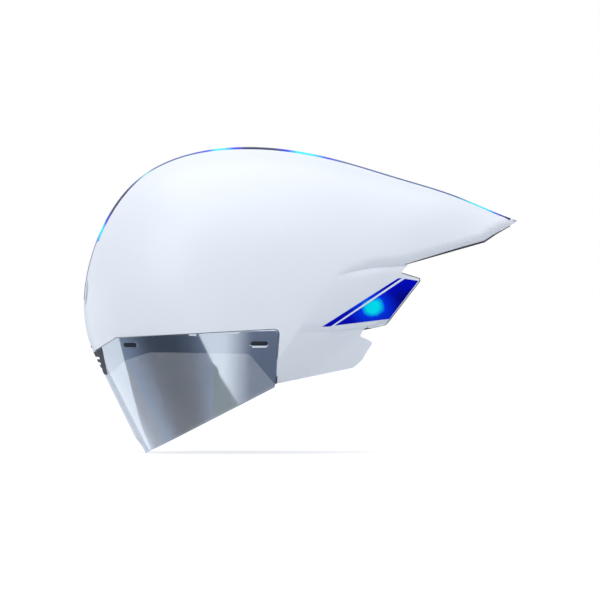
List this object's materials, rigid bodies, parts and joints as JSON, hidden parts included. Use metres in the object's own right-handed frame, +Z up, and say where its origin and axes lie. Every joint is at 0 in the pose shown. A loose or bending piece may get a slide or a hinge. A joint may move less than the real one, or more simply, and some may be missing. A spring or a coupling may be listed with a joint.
{
  "type": "aero time trial helmet",
  "caption": "Aero time trial helmet with a pointed tail, a magnetic wrap-around visor, ear fins and an adjustable retention cradle.",
  "frame": {"origin": "middle of the wearer's head, at the height of the temples, where the head seats in the padding", "axes": "nose towards -X, tail towards +X, the wearer's left at -Y, +Z up as the helmet is worn"},
  "size_m": [0.3627, 0.206, 0.2564],
  "materials": {
    "white_shell": "gloss painted polycarbonate",
    "smoke_lens": "mirrored smoke polycarbonate",
    "foam": "moulded expanded polystyrene beads",
    "black_trim": "satin moulded plastic",
    "magnet_pill": "magnet in a black moulded cap",
    "pad_fabric": "brushed knit over soft foam",
    "hook_tape": "hook tape",
    "cradle_plastic": "moulded nylon",
    "pinion_plastic": "natural acetal",
    "dial_rubber": "soft overmoulded grip",
    "steel": "zinc-plated steel",
    "webbing": "flat woven webbing",
    "clip_plastic": "moulded acetal"
  },
  "bodies": {
    "helmet": {"outer_shell": "white_shell", "foam_liner": "foam", "tail_underpanel": "black_trim", "left_fin_backing": "black_trim", "right_fin_backing": "black_trim", "intake_grilles": "black_trim", "brow_vent": "black_trim", "shell_magnets": "magnet_pill", "brow_pad": "pad_fabric", "crown_pads": "pad_fabric", "temple_pads": "pad_fabric", "pad_hooks": "hook_tape", "temple_sockets": "cradle_plastic", "hanger_bracket": "cradle_plastic", "strap_anchors": "clip_plastic", "left_strap": "webbing", "right_strap": "webbing", "left_divider": "clip_plastic", "right_divider": "clip_plastic", "buckle_tongue": "clip_plastic", "buckle_socket": "clip_plastic", "strap_keepers": "dial_rubber"},
    "visor": {"visor_lens": "smoke_lens", "visor_magnets": "magnet_pill"},
    "cradle": {"retention_cradle": "cradle_plastic", "cradle_cover": "cradle_plastic", "cradle_screws": "steel", "nape_pad": "pad_fabric", "detent_spring": "steel"},
    "dial": {"dial_knob": "dial_rubber", "dial_pinion": "pinion_plastic", "dial_screw": "steel"},
    "left_band": {"left_band": "cradle_plastic"},
    "right_band": {"right_band": "cradle_plastic"},
    "left_lever": {"left_cam_lever": "clip_plastic"},
    "right_lever": {"right_cam_lever": "clip_plastic"}
  },
  "joints": [
    {"name": "visor_pull", "type": "slide", "parent": "helmet", "child": "visor", "axis": [-0.8192, 0, -0.5736], "range_m": [0, 0.12]},
    {"name": "cradle_tilt", "type": "hinge", "parent": "helmet", "child": "cradle", "pos_m": [-0.016, 0, 0.008], "axis": [0, 1, 0], "range_deg": [-3, 6]},
    {"name": "dial_turn", "type": "hinge", "parent": "cradle", "child": "dial", "pos_m": [0.095, 0, -0.033], "axis": [-1, 0, 0], "range_deg": [0, 101.8]},
    {"name": "left_band_slide", "type": "slide", "parent": "cradle", "child": "left_band", "axis": [0, 1, 0], "range_m": [0, 0.008]},
    {"name": "right_band_slide", "type": "slide", "parent": "cradle", "child": "right_band", "axis": [0, -1, 0], "range_m": [0, 0.008]},
    {"name": "left_cam_open", "type": "hinge", "parent": "helmet", "child": "left_lever", "pos_m": [0.07136, -0.07056, -0.048], "axis": [0, 0, 1], "range_deg": [0, 60]},
    {"name": "right_cam_open", "type": "hinge", "parent": "helmet", "child": "right_lever", "pos_m": [0.07136, 0.07056, -0.048], "axis": [0, 0, -1], "range_deg": [0, 60]}
  ],
  "couplings": [
    {"joint": "left_band_slide", "follows": "dial_turn", "m_per_rad": 0.0045},
    {"joint": "right_band_slide", "follows": "dial_turn", "m_per_rad": 0.0045}
  ]
}
